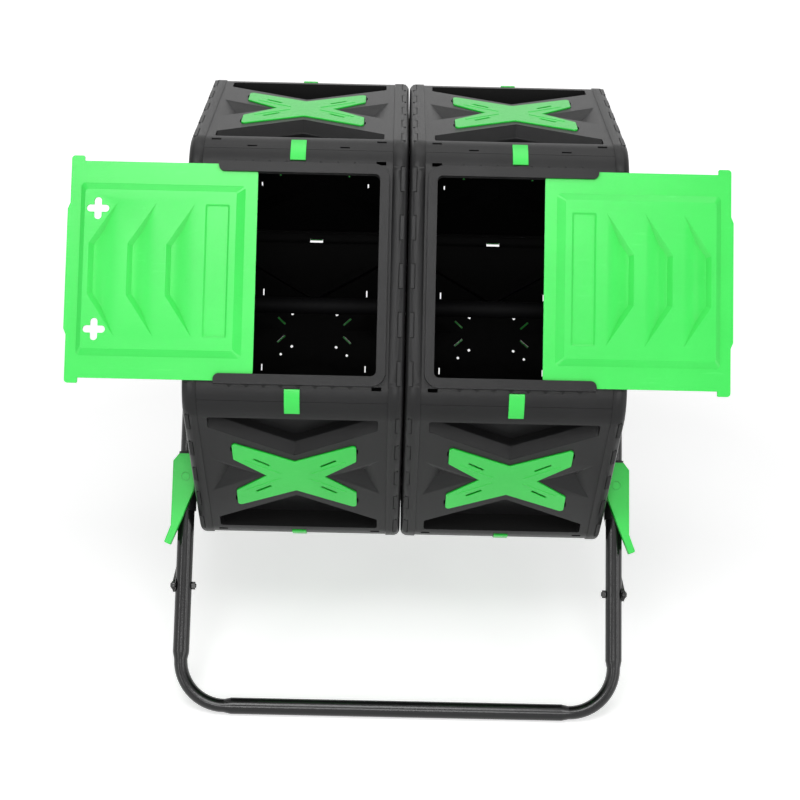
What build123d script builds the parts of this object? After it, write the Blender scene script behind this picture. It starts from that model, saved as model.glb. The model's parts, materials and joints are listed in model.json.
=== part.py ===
from build123d import *
import math
import os

# Dual-drum compost tumbler, millimetres.
# X runs along the axle, Y to the back, Z up.
# The origin is on the ground, midway between the drums and straight below the axle.

# ---------------------------------------------------------------- stand
tube_dia = 24.0            # leg tube, outside
tube_wall = 1.5
leg_spacing = 634.0        # left leg to right leg, centre to centre
leg_length = 597.0         # axle centre to the centre of the ground bar
leg_lean = 33.6            # each leg from the vertical, degrees
bend_radius = 66.0         # ground-bar corners, at the tube's centre line
bend_squash = 2.1          # the bender takes this off the tube's half width
bend_swell = 0.7           # and adds this across it
squash_run = 10.0          # straight run over which the section turns oval
paddle_thick = 6.0         # leg top, pressed flat
paddle_width = 33.0
paddle_edge = 2.5          # rounding of its long edges
paddle_run = 46.0          # straight flat below the axle
neck_run = 34.0            # from the flat to the full tube

axle_dia = 25.0
axle_wall = 2.0
axle_bolt_dia = 10.0
bolt_clearance = 0.2       # on the radius
plug_length = 26.0

brace_thick = 3.0
brace_height = 20.0
brace_station = 424.0      # down the leg from the axle
brace_bolt_dia = 6.0
dome_radius = 6.5
dome_height = 4.0

# ---------------------------------------------------------------- drums
door_tilt = 30.0           # door face, up from facing straight forward
side_length = 350.0        # one side of the hexagon, sharp corner to corner
corner_radius = 57.0
panel_length = 255.0       # side panel between the end-cap rims
panel_wall = 3.0
joint_gap = 0.3            # between neighbouring panels
flange_depth = 14.0        # inward lip along each panel edge
flange_short = 16.0        # the lip stops this far from the panel's ends
rim_width = 19.25
rim_proud = 1.5
rim_wall = 4.0
rim_round = 9.0
end_gap = 0.15             # panel end to rim
drum_gap = 5.0             # between the two drums
end_wall = 3.5
spigot_depth = 9.0         # cap lip that the panel ends sit on
spigot_wall = 2.5
seat_gap = 0.15

notch_count = 5            # hand-hold notches on each side of a rim
notch_pitch = 65.5
notch_width = 35.0
notch_reach = 9.0
notch_depth = 1.8

trough_half = 115.0        # V-shaped trough, half width
trough_edge = 141.0        # from the panel's middle to its outer edge
trough_shoulder = 117.0
trough_tip = 52.0
trough_depth = 28.5
trough_round = 4.0
pocket_outer = 119.0       # three-sided pocket at each end
pocket_half = 44.0
pocket_inner = 46.0
pocket_floor = 95.0
pocket_depth = 13.0

arm_reach = 86.2           # green X plate
arm_top = 82.0
arm_bottom = 41.0
waist_high = 37.5
waist_wide = 41.0
plate_thick = 3.4
plate_seat = 1.4           # how deep the panel's seat takes it in
plate_play = 0.35
plate_round = 5.0
slit_length = 27.0
slit_width = 3.8
slit_x = 46.7
slit_u = 34.5
vent_hole = 4.0            # square, in the panel, under each end of a slit
edge_vent_length = 17.0    # in the panel, along the plate's side notches
edge_vent_width = 3.2
edge_vent_x = 55.3
edge_vent_u = 15.4
snap_length = 11.0         # snap slots past the arm ends
snap_width = 2.0
snap_u = 64.0

clip_width = 21.0          # green joint clip
clip_thick = 2.2
clip_half_angle = 18.0     # each way from the joint, round the corner
clip_leg = 8.0
clip_play = 0.3
clip_slot_spare = 3.2      # a vent panel's lower slot is this much wider than the clip's leg
corner_slot_length = 13.0
corner_slot_width = 5.0
corner_slot_x = 112.0
corner_slot_u = 152.0
hook_slot_x = 62.5         # slots for the hooks of the next panel
hook_slot_length = 13.0
hook_slot_width = 2.6
hook_slot_in = 5.2         # from the joint, round the corner

# ---------------------------------------------------------------- doors
opening_inboard = 111.0    # opening edge, from the panel's middle
opening_outboard = 94.0
opening_half = 135.0
opening_round = 8.0
rail_outer_half = 149.5    # C-shaped rail frame
rail_inboard = 123.5
rail_outboard = 104.5
rail_lip_half = 135.6
rail_lip_inboard = 12.5
rail_base = 2.0
rail_cover = 2.5
rail_leg = 1.6
rail_leg_inboard = 5.1
rail_skirt = 2.2           # down the panel's rounded edge
rail_round = 20.0
rail_end_round = 8.0       # tips of the lip, at the open end
sill_step = 0.5            # ledge below the door, round the opening
tick_count = 8             # small bites in the panel beside the rails
tick_pitch = 22.8
tick_shift = 3.3           # the row starts this much nearer the outboard end
tick_size = 5.5
tick_depth = 1.9
door_length = 249.0
door_thick = 3.2
door_play = 0.35           # each face of the door to the rails
door_side_play = 0.6
door_end_play = 0.4
door_corner = 16.0         # corners of the inner end
door_ear = 29.0            # wider stretch at the door's inner end
door_ear_step = 1.8
stop_length = 6.0          # nub at each rail's open end
lip_out = 7.0              # wings at the outer end
lip_length = 17.5
lip_corner = 4.5
grip_half = 80.5           # shallow bulge of the outer edge
grip_ramp = 8.0
grip_reach = 3.3
field_half = 116.0         # raised middle of the door, at its foot
field_inner = 16.0         # its foot, from the door's inner end
field_outer = 14.0         # and from the outer end
field_rise = 4.5
field_slope = 9.5          # sloped sides, seen from above
field_slope_inner = 11.5
field_slope_outer = 6.5
field_corner = 4.0
door_shell = 2.6           # wall of the raised middle
scoop_count = 3            # finger scoops
scoop_pitch = 51.5
scoop_first = 27.0         # outer edge of the first scoop, from the door's outer end
scoop_elbow = 34.5         # half its straight outer edge
scoop_half = 90.0          # half its length, tip to tip
scoop_reach = 37.0         # tips, this much further in than the outer edge
scoop_flank = 6.5          # steep side, seen from above
scoop_flat = 19.3          # flat floor ends here, from the outer edge
scoop_shell = 2.0
pull_width = 32.5
pull_half = 89.5
pull_start = 36.0          # shallow pull recess, from the door's inner end
pull_depth = 1.8
pull_slope = 2.5
cross_span = 29.5
cross_arm = 9.6
cross_x = 37.8             # from the door's outer end
cross_u = 81.0
left_open = 170.0          # how far the left door stands open
right_open = 151.0

# ---------------------------------------------------------------- hub and lock
hub_radius = 34.0
hub_depth = 26.0
bush_wall = 4.0
bush_flange = 2.0
bush_flange_radius = 24.0
axle_play = 0.08
spacer_wall = 4.0
lock_count = 15            # sockets round each end cap
lock_radius = 243.0
lock_length = 30.0         # socket, along the radius
lock_width = 20.5
lock_depth = 9.0
boss_wall = 3.0            # round each socket, behind the end wall
web_thick = 4.0
web_depth = 9.0

lever_station = 265.0      # lever pivot, down the leg from the axle
lever_front = 26.0         # lever face, forward of the tube's centre
lever_face = 3.5
lever_skirt = 7.5
lever_side = 36.0          # depth of its outer wall
wall_top = 3.0             # the deep wall ends here, above the pivot, to clear the leg
lever_wall = 3.2
nose_reach = 18.5          # nose towards the drum, from the leg's centre line
nose_low = 20.0            # above the pivot
nose_high = 34.0
nose_back = 9.0            # forward of the tube's centre
pin_dia = 8.0
pin_head_dia = 12.0
pin_head = 2.2
pin_play = 0.08
saddle_wall = 2.2
saddle_top = 39.0          # above the pivot
saddle_bottom = 49.0       # below it
saddle_pad = 13.0

cos30 = math.cos(math.radians(30))
sin30 = math.sin(math.radians(30))
tan30 = math.tan(math.radians(30))
tube_r = tube_dia / 2
apothem = side_length / 2 / tan30
half_side = side_length / 2
tangent = half_side - corner_radius * tan30
axle_height = leg_length * math.cos(math.radians(leg_lean)) + tube_r
drum_inner = drum_gap / 2
drum_outer = drum_inner + 2 * rim_width + panel_length + 2 * end_gap
panel_middle = (drum_inner + drum_outer) / 2
leg_x = leg_spacing / 2
lean = math.radians(leg_lean)
# angle from the leg's centre line to the lever's nose, seen along the axle
nose_station = lever_station - (nose_low + nose_high) / 2
nose_turn = math.degrees(math.atan2((nose_back + lever_front) / 2, nose_station))


# ---------------------------------------------------------------- helpers
def face_plane(side, k, lift=0.0):
    """Plane on side k of a drum: x along the axle, y up the side, z outward."""
    a = math.radians(door_tilt + 60 * k)
    reach = apothem + lift
    origin = (side * panel_middle, -reach * math.cos(a), axle_height + reach * math.sin(a))
    return Plane(origin=origin, x_dir=(1, 0, 0), z_dir=(0, -math.cos(a), math.sin(a)))


def box(x0, x1, y0, y1, z0, z1):
    return Pos((x0 + x1) / 2, (y0 + y1) / 2, (z0 + z1) / 2) * Box(x1 - x0, y1 - y0, z1 - z0)


def prism(points, z0, z1, rounding=0.0):
    """Upright prism on a closed outline, with its corners rounded."""
    outline = make_face(Polyline(*points, close=True))
    if rounding > 0:
        outline = fillet(outline.vertices(), rounding)
    return Pos(0, 0, z0) * extrude(outline, z1 - z0)


def along_x(points, x0, x1):
    """Prism along X on an outline given in Y and Z."""
    outline = Plane.YZ * make_face(Polyline(*points, close=True))
    return Pos(x0, 0, 0) * extrude(outline, x1 - x0)


def rod(radius, start, end):
    path = Vector(*end) - Vector(*start)
    return Plane(origin=start, z_dir=path) * extrude(Circle(radius), path.length)


def slot_box(x, u, length, width, angle=0.0, depth=60.0):
    return Pos(x, u, 0) * Rot(0, 0, angle) * Box(length, width, depth)


def corner_point(radius, angle):
    """Point round a panel's upper corner; the angle is from the panel's normal."""
    a = math.radians(angle)
    return (tangent + radius * math.sin(a), -corner_radius + radius * math.cos(a))


def corner_strip(r0, r1, a0, a1, x0, x1):
    """Ring segment round a panel's upper corner, run along X."""
    mid = (a0 + a1) / 2
    p = [corner_point(r1, a0), corner_point(r1, mid), corner_point(r1, a1)]
    q = [corner_point(r0, a1), corner_point(r0, mid), corner_point(r0, a0)]
    edges = [ThreePointArc(*p), Line(p[2], q[0]), ThreePointArc(*q), Line(q[2], p[0])]
    face = Plane.YZ * make_face(edges)
    return Pos(x0, 0, 0) * extrude(face, x1 - x0)


def both_edges(solid):
    """A feature at the panel's upper edge, and its twin at the lower edge."""
    return [solid, mirror(solid, about=Plane.XZ)]


# ---------------------------------------------------------------- side panels
def panel_skin(lift, wall, x0, x1, gap):
    """One sixth of the drum's skin: a flat with half a rounded corner at each edge."""
    r_out = corner_radius + lift
    r_in = r_out - wall
    a_out = 30 - math.degrees(math.asin(gap / r_out))
    a_in = 30 - math.degrees(math.asin(gap / r_in))
    o0, o1, o2 = [corner_point(r_out, a) for a in (0, a_out / 2, a_out)]
    i0, i1, i2 = [corner_point(r_in, a) for a in (0, a_in / 2, a_in)]

    def flip(p):
        return (-p[0], p[1])

    edges = [
        Line(flip(o0), o0), ThreePointArc(o0, o1, o2), Line(o2, i2), ThreePointArc(i2, i1, i0),
        Line(i0, flip(i0)), ThreePointArc(flip(i0), flip(i1), flip(i2)),
        Line(flip(i2), flip(o2)), ThreePointArc(flip(o2), flip(o1), flip(o0)),
    ]
    face = Plane.YZ * make_face(edges)
    return Pos(x0, 0, 0) * extrude(face, x1 - x0)


def panel_flange():
    """Inward lip along the upper edge, square to the joint."""
    d = (sin30, cos30)
    w = (-cos30, sin30)
    gap = joint_gap / 2
    r0 = corner_radius - flange_depth
    r1 = corner_radius - panel_wall / 2
    pts = []
    for radius, off in ((r0, gap), (r1, gap), (r1, gap + panel_wall), (r0, gap + panel_wall)):
        pts.append((tangent + radius * d[0] + off * w[0], -corner_radius + radius * d[1] + off * w[1]))
    reach = panel_length / 2 - flange_short
    return along_x(pts, -reach, reach)


def clip_slot(spare=0.0):
    """Opening for one leg of a clip, at the panel's upper edge."""
    far = math.degrees((clip_thick + clip_play) / corner_radius)
    near = math.degrees((clip_play + spare) / corner_radius)
    at = 30 - clip_half_angle
    reach = clip_width / 2 + clip_play
    return corner_strip(corner_radius - 12, corner_radius + 5, at - near, at + far, -reach, reach)


def at_lower_edge(solid):
    """The same feature at the panel's lower edge."""
    return mirror(solid, about=Plane.XZ)


def base_panel():
    skin = panel_skin(0, panel_wall, -panel_length / 2, panel_length / 2, joint_gap / 2)
    return skin + both_edges(panel_flange())


def trough_outline(grow):
    t, e, s, v = trough_half + grow, trough_edge, trough_shoulder, trough_tip
    slope = (s - v) / trough_half
    drop = grow * math.sqrt(1 + slope * slope)
    return [(-t, e + grow), (t, e + grow), (t, s - grow * 0.4), (0, v - drop), (-t, s - grow * 0.4)]


def x_outline(grow):
    """Outline of the X plate, grown square to its edges by about grow."""
    ends = arm_reach + grow
    rise = (arm_top - waist_high) / arm_reach
    run = arm_bottom / (arm_reach - waist_wide)
    top = grow * math.sqrt(1 + rise * rise)
    low = grow * math.sqrt(1 + run * run)
    quarter = [
        (0, waist_high + top),
        (ends, waist_high + top + rise * ends),
        (ends, run * (ends - waist_wide) - low),
        (waist_wide + low / run, 0),
    ]
    pts = list(quarter)
    pts += [(x, -y) for x, y in reversed(quarter[:3])]
    pts += [(-x, -y) for x, y in quarter[1:]]
    pts += [(-x, y) for x, y in reversed(quarter[1:3])]
    return pts


def x_face(grow, rounding):
    face = make_face(Polyline(*x_outline(grow), close=True))
    tips = [v for v in face.vertices() if abs(v.X) > arm_reach + grow - 0.01]
    return fillet(tips, rounding)


def slits():
    angle = math.degrees(math.atan2(slit_u, slit_x))
    cuts = []
    for sx in (-1, 1):
        for su in (-1, 1):
            cuts.append(slot_box(sx * slit_x, su * slit_u, slit_length, slit_width, sx * su * angle))
    return cuts


def panel_vents():
    """Air holes in the panel: two under each slit, and a slot along each edge of the side notches."""
    angle = math.atan2(slit_u, slit_x)
    notch_angle = math.degrees(math.atan2(arm_bottom, arm_reach - waist_wide))
    offset = (slit_length - vent_hole) / 2
    cuts = []
    for sx in (-1, 1):
        for su in (-1, 1):
            for end in (-offset, offset):
                x = sx * (slit_x + end * math.cos(angle))
                u = su * (slit_u + end * math.sin(angle))
                cuts.append(slot_box(x, u, vent_hole, vent_hole, sx * su * math.degrees(angle), 20))
            cuts.append(slot_box(sx * edge_vent_x, su * edge_vent_u, edge_vent_length, edge_vent_width,
                                 sx * su * notch_angle, 20))
    return cuts


def hook_slots():
    """Two slots just inside the lower joint, for the hooks of the next panel."""
    mid = 30 - math.degrees(hook_slot_in / corner_radius)
    half = math.degrees(hook_slot_width / 2 / corner_radius)
    cuts = []
    for x in (-hook_slot_x, hook_slot_x):
        x0 = x - hook_slot_length / 2
        slot = corner_strip(corner_radius - 6, corner_radius + 5, mid - half, mid + half, x0, x0 + hook_slot_length)
        cuts.append(at_lower_edge(slot))
    return cuts


def pocket(grow):
    """Three-sided pit that narrows to a point below the plate's side notch."""
    g = grow
    rim = [(pocket_outer + g, pocket_half + 2 * g), (pocket_outer + g, -pocket_half - 2 * g), (pocket_inner - 2.5 * g, 0)]
    tip = Vector(pocket_floor, 0, -pocket_depth - g)
    top = [Vector(x, y, 0) for x, y in rim]
    faces = [make_face(Polyline(*top, close=True))]
    for i in range(3):
        faces.append(make_face(Polyline(top[i], top[(i + 1) % 3], tip, close=True)))
    return Solid(Shell(faces))


def vent_panel_shape():
    """Side panel with two deep V troughs, two pits and a seat for the X plate."""
    body = base_panel()
    tubs = []
    pits = []
    for edge in (0, 180):
        turn = Rot(0, 0, edge)
        tubs.append(turn * prism(trough_outline(panel_wall), -trough_depth - panel_wall, -panel_wall / 2))
        pits.append(turn * prism(trough_outline(0), -trough_depth, 5, trough_round))
        tubs.append(turn * (Pos(0, 0, -0.6) * pocket(panel_wall)))
        pits.append(turn * (Pos(0, 0, 0.01) * pocket(0)))
    body = body + tubs
    cuts = pits + panel_vents() + hook_slots() + [clip_slot(), at_lower_edge(clip_slot(clip_slot_spare))]
    cuts.append(Pos(0, 0, -plate_seat) * extrude(x_face(plate_play, plate_round), 5))
    for sx in (-1, 1):
        cuts.append(slot_box(sx * corner_slot_x, -corner_slot_u, corner_slot_length, corner_slot_width, 0, 40))
        for su in (-1, 1):
            cuts.append(slot_box(sx * (arm_reach + 0.8), su * snap_u, snap_width, snap_length))
    return body - cuts


def x_plate_shape():
    """Green vent plate: a flat X with four slits."""
    return Pos(0, 0, -plate_seat) * extrude(x_face(0, plate_round), plate_thick) - slits()


def clip_shape():
    """Green clip: a curved strap over the joint, with a leg into each panel."""
    r0 = corner_radius + 0.1
    r1 = corner_radius + clip_thick
    half = clip_half_angle
    leg = math.degrees(clip_thick / corner_radius)
    near = 30 - half
    half_width = clip_width / 2
    strap = corner_strip(r0, r1, near, 30 + half, -half_width, half_width)
    legs = [
        corner_strip(corner_radius - clip_leg, r1 - 0.5, near, near + leg, -half_width, half_width),
        corner_strip(corner_radius - clip_leg, r1 - 0.5, 30 + half - leg, 30 + half, -half_width, half_width),
    ]
    return strap + legs


# ---------------------------------------------------------------- door panel, rails and door
def door_panel_shape():
    """Side panel with the door opening and corner slots, inboard end at +x."""
    cuts = both_edges(clip_slot())
    opening = [
        (-opening_outboard, -opening_half), (opening_inboard, -opening_half),
        (opening_inboard, opening_half), (-opening_outboard, opening_half),
    ]
    cuts.append(prism(opening, -30, 10, opening_round))
    for su in (-1, 1):
        cuts.append(slot_box(corner_slot_x, su * corner_slot_u, corner_slot_length, corner_slot_width, 0, 40))
        for i in range(tick_count):
            x = (i - (tick_count - 1) / 2) * tick_pitch - tick_shift
            cuts.append(Pos(x, su * rail_outer_half, 0) * Rot(0, 0, 45) * Box(tick_size, tick_size, 2 * tick_depth))
    return base_panel() - cuts


groove_low = rail_base
door_low = rail_base + door_play
door_high = door_low + door_thick
groove_high = door_high + door_play
rail_high = groove_high + rail_cover
groove_half = rail_outer_half - rail_leg
ear_half = groove_half - door_side_play
flange_half = ear_half - door_ear_step
groove_inboard = rail_inboard - rail_leg_inboard
door_shut_end = groove_inboard - door_end_play
field_top = door_high + field_rise


def rail_outline(outboard, inboard, half, inboard_round, outboard_round=0.0):
    """Rectangle across the panel with its inboard corners rounded, and the outboard ones where asked."""
    face = make_face(Polyline((-outboard, -half), (inboard, -half), (inboard, half), (-outboard, half), close=True))
    face = fillet([v for v in face.vertices() if v.X > 0], inboard_round)
    if outboard_round > 0:
        face = fillet([v for v in face.vertices() if v.X < 0.01 - outboard], outboard_round)
    return face


def lip_tip(su):
    """Cut that rounds the tip of the lip at the frame's open end."""
    r = rail_end_round
    x = r - rail_outboard
    u = su * (rail_lip_half + r)
    corner = Pos(x - r / 2 - 0.5, u - su * (r / 2 + 0.5)) * Rectangle(r + 1, r + 1)
    return Pos(0, 0, rail_base + sill_step) * extrude(corner - Pos(x, u) * Circle(r), rail_high)


def rail_frame_shape():
    """C-shaped frame that the door slides in, open at the outboard end."""
    face = rail_outline(rail_outboard, rail_inboard, rail_outer_half, rail_round)
    body = Pos(0, 0, -rail_skirt) * extrude(face, rail_high + rail_skirt)
    below = panel_skin(0.02, 40, -panel_length / 2, panel_length / 2, joint_gap / 2)
    far = rail_outboard + 20
    window = rail_outline(far, rail_inboard - rail_lip_inboard, rail_lip_half, 7.0)
    sill = rail_outline(far, opening_inboard, opening_half, opening_round)
    groove = rail_outline(rail_outboard - stop_length, groove_inboard, groove_half, door_corner)
    stop_half = flange_half + door_side_play
    over = rail_high + 5
    cuts = [
        below,
        Pos(0, 0, rail_base + sill_step) * extrude(window, over),
        Pos(0, 0, -10) * extrude(sill, over + 10),
        Pos(0, 0, groove_low) * extrude(groove, groove_high - groove_low),
        box(-far, 0, -stop_half, stop_half, groove_low, groove_high),
    ]
    cuts += [lip_tip(su) for su in (-1, 1)]
    # room for the clips over the joints above and below the door
    reach = clip_width / 2 + clip_play
    near = 30 - clip_half_angle - math.degrees(clip_play / corner_radius)
    cuts += both_edges(corner_strip(corner_radius - 15, corner_radius + 15, near, 30, -reach, reach))
    return body - cuts


def scoop(x, grow=0.0):
    """Finger scoop: steep bent outer side, flat floor, and a long slope up to the line between its tips."""
    depth = field_top - scoop_shell - (door_low + 0.3)
    lean = (scoop_half - scoop_elbow) / scoop_reach
    turn = math.tan(math.atan(scoop_reach / (scoop_half - scoop_elbow)) / 2)
    low = scoop_elbow - scoop_flank * turn

    def across(px, u):
        return [Vector(x + px, su * u, 0) for su in (1, -1)]

    outer = across(-grow, scoop_elbow + grow * turn)
    tips = across(scoop_reach + grow, scoop_half + grow * (turn + 2 * lean))
    foot = across(scoop_flank - grow, low + grow * turn)
    crease = across(scoop_flat + grow, low + grow * turn + (scoop_flat + 2 * grow - scoop_flank) * lean)
    top = field_top - grow
    outer, tips = [[p + Vector(0, 0, top) for p in line] for line in (outer, tips)]
    foot, crease = [[p + Vector(0, 0, top - depth) for p in line] for line in (foot, crease)]
    loops = [
        (tips[0], outer[0], outer[1], tips[1]), (outer[0], foot[0], foot[1], outer[1]),
        (outer[0], tips[0], crease[0], foot[0]), (outer[1], foot[1], crease[1], tips[1]),
        (foot[0], crease[0], crease[1], foot[1]), (tips[0], tips[1], crease[1], crease[0]),
    ]
    return Solid(Shell([make_face(Polyline(*loop, close=True)) for loop in loops]))


def door_outline():
    """Outline of the door: ears that run in the rails, flanges, wings and a shallow bulge to push by."""
    end = -door_length
    lip_half = flange_half + lip_out
    half = [
        (0, ear_half), (-door_ear, ear_half), (-door_ear - door_ear_step, flange_half),
        (end + lip_length, flange_half), (end + lip_length, lip_half), (end, lip_half),
        (end, grip_half + grip_ramp), (end - grip_reach, grip_half),
    ]
    outline = make_face(Polyline(*half, *[(x, -y) for x, y in reversed(half)], close=True))
    for x, rounding in ((0, door_corner), (end, lip_corner), (end + lip_length, 2.0)):
        high = ear_half if x == 0 else lip_half
        corners = [v for v in outline.vertices() if abs(v.X - x) < 0.01 and abs(v.Y) > high - 0.01]
        outline = fillet(corners, rounding)
    return outline


def door_rectangle(x0, x1, half, rounding):
    face = make_face(Polyline((x0, -half), (x1, -half), (x1, half), (x0, half), close=True))
    return fillet(face.vertices(), rounding)


def door_shape(with_crosses):
    """Sliding door with its inner end at x = 0 and its outer end at -door_length."""
    end = -door_length
    foot = (end + field_outer, -field_inner, field_half)
    crown = (foot[0] + field_slope_outer, foot[1] - field_slope_inner, field_half - field_slope)
    body = Pos(0, 0, door_low) * extrude(door_outline(), door_thick)
    body = body + loft([
        Plane.XY.offset(door_high) * door_rectangle(*foot, field_corner + 2),
        Plane.XY.offset(field_top) * door_rectangle(*crown, field_corner),
    ])
    # the moulding is hollow behind the raised field, with a shell under each recess
    cave = door_rectangle(crown[0] + 1.5, crown[1] - 1.5, crown[2] - 1.5, field_corner)
    body = body - Pos(0, 0, door_low - 1) * extrude(cave, field_top - door_shell - door_low + 1)
    pull_x = -pull_start - pull_width
    tray = door_rectangle(pull_x - 2, -pull_start + 2, pull_half + 2, 2.0)
    scoops = [end + scoop_first + i * scoop_pitch for i in range(scoop_count)]
    shells = [Pos(0, 0, 1 - scoop_shell) * scoop(x, 1.0) for x in scoops]
    shells.append(Pos(0, 0, field_top - pull_depth - scoop_shell) * extrude(tray, pull_depth))
    cuts = [Pos(0, 0, 0.01) * scoop(x) for x in scoops]
    pull = (pull_x, -pull_start, pull_half)
    pull_floor = (pull_x + pull_slope, -pull_start - pull_slope, pull_half - pull_slope)
    cuts.append(loft([
        Plane.XY.offset(field_top - pull_depth) * door_rectangle(*pull_floor, 1.0),
        Plane.XY.offset(field_top + 0.01) * door_rectangle(*pull, 1.0),
    ]))
    if with_crosses:
        bar = SlotOverall(cross_span, cross_arm)
        for su in (-1, 1):
            at = Pos(end + cross_x, su * cross_u, 0)
            cuts += [at * Rot(0, 0, turn) * extrude(bar, field_top + 10) for turn in (0, 90)]
    return (body + shells) - cuts


# ---------------------------------------------------------------- end caps
def hexagon(lift, rounding):
    """Closed hexagon with side 0 facing +Y of the sketch, rounded at the corners."""
    reach = (apothem + lift) / cos30
    pts = []
    for i in range(6):
        a = math.radians(60 * i + 60)
        pts.append((reach * math.cos(a), reach * math.sin(a)))
    return fillet(make_face(Polyline(*pts, close=True)).vertices(), rounding)


def end_cap_shape():
    """End cap with its outer face at x = 0 and the drum towards -x; side 0 is up."""
    outer = Plane.YZ * hexagon(rim_proud, corner_radius + rim_proud)
    inner = Plane.YZ * hexagon(rim_proud - rim_wall, corner_radius + rim_proud - rim_wall)
    body = extrude(outer, -rim_width)
    body = fillet(body.faces().sort_by(Axis.X)[-1].edges(), rim_round)
    body = body - Pos(-end_wall, 0, 0) * extrude(inner, -rim_width)
    # lip that the six panels sit on
    lip_out_face = Plane.YZ * hexagon(-panel_wall - seat_gap, corner_radius - panel_wall - seat_gap)
    lip_in_face = Plane.YZ * hexagon(-panel_wall - seat_gap - spigot_wall, corner_radius - panel_wall - seat_gap - spigot_wall)
    deep = rim_width + spigot_depth - end_wall
    lip = Pos(-end_wall, 0, 0) * (extrude(lip_out_face, -deep) - extrude(lip_in_face, -deep))
    body = body + lip
    shelf = Plane.YZ * hexagon(rim_proud - 1.0, corner_radius + rim_proud - 1.0)
    ring = Pos(-rim_width + 3.0, 0, 0) * (extrude(shelf, -3.0) - extrude(lip_in_face, -3.0))
    body = body + ring
    # hub, and a boss behind each lock socket with a web out to it
    body = body + Pos(-hub_depth, 0, 0) * extrude(Plane.YZ * Circle(hub_radius), hub_depth)
    first_socket = 90 + door_tilt - leg_lean - nose_turn
    wide = lock_width / 2 + boss_wall
    long = lock_length / 2 + boss_wall
    added = []
    for i in range(lock_count):
        boss = box(-lock_depth - boss_wall, -1, -wide, wide, lock_radius - long, lock_radius + long)
        web = box(-end_wall - web_depth, -1, -web_thick / 2, web_thick / 2, hub_radius - 4, lock_radius - long + 2)
        added += [Rot(first_socket + 360 / lock_count * i, 0, 0) * piece for piece in (boss, web)]
    body = body + added
    cuts = [Pos(-hub_depth - 5, 0, 0) * extrude(Plane.YZ * Circle(axle_dia / 2 + axle_play + bush_wall), hub_depth + 10)]
    for i in range(lock_count):
        socket = box(-lock_depth, 5, -lock_width / 2, lock_width / 2, lock_radius - lock_length / 2, lock_radius + lock_length / 2)
        cuts.append(Rot(first_socket + 360 / lock_count * i, 0, 0) * socket)
    for k in range(6):
        for j in range(notch_count):
            y = (j - (notch_count - 1) / 2) * notch_pitch
            top = apothem + rim_proud
            notch = box(-notch_reach, 5, y - notch_width / 2, y + notch_width / 2, top - notch_depth, top + 5)
            cuts.append(Rot(60 * k, 0, 0) * notch)
    return body - cuts


def bush_shape():
    """Flanged plain bearing, flange face at x = bush_flange."""
    bore = axle_dia / 2 + axle_play
    tube = extrude(Plane.YZ * (Circle(bore + bush_wall) - Circle(bore)), -hub_depth)
    flange = extrude(Plane.YZ * (Circle(bush_flange_radius) - Circle(bore)), bush_flange)
    return tube + flange


# ---------------------------------------------------------------- stand
def leg_point(sign, x, s, off=0.0):
    """Point s down a leg; sign -1 is the front leg, +1 the rear; off is outward square to it."""
    y = sign * (s * math.sin(lean) + off * math.cos(lean))
    z = axle_height - s * math.cos(lean) + off * math.sin(lean)
    return (x, y, z)


def leg_plane(sign, x=0.0):
    """Local frame of a leg frame: x along the axle, y up the leg, z outward."""
    up = Vector(0, -sign * math.sin(lean), math.cos(lean))
    out = Vector(1, 0, 0).cross(up)
    return Plane(origin=(x, 0, axle_height), x_dir=(1, 0, 0), z_dir=out)


def pressed(radius):
    """Tube section in the bends, where the bender has pressed it narrow in x."""
    return Ellipse(radius - bend_squash, radius + bend_swell)


def oval_run(radius, start, direction, side):
    """Short run from the round tube to the pressed section."""
    plane = Plane(origin=start, x_dir=side, z_dir=direction)
    return loft([plane * Circle(radius), plane.offset(squash_run) * pressed(radius)])


def tube_run(radius):
    """Whole U-frame as one solid rod of the given radius, in the leg's own plane."""
    r = bend_radius
    bottom = -leg_length
    top = -(paddle_run + neck_run)
    pieces = []
    for sx in (-1, 1):
        x = sx * leg_x
        start = (x, top, 0)
        stop = (x, bottom + r + squash_run, 0)
        pieces.append(rod(radius, start, stop))
        pieces.append(oval_run(radius, stop, (0, -1, 0), (1, 0, 0)))
        bar = (sx * (leg_x - r - squash_run), bottom, 0)
        pieces.append(oval_run(radius, bar, (sx, 0, 0), (0, 1, 0)))
        section = Plane(origin=(x, bottom + r, 0), x_dir=(1, 0, 0), z_dir=(0, -1, 0)) * pressed(radius)
        pieces.append(revolve(section, Axis((x - sx * r, bottom + r, 0), (0, 0, -sx)), 90))
    pieces.append(rod(radius, (-(leg_x - r - squash_run), bottom, 0), (leg_x - r - squash_run, bottom, 0)))
    body = pieces[0]
    for piece in pieces[1:]:
        body = body + piece
    return body


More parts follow.
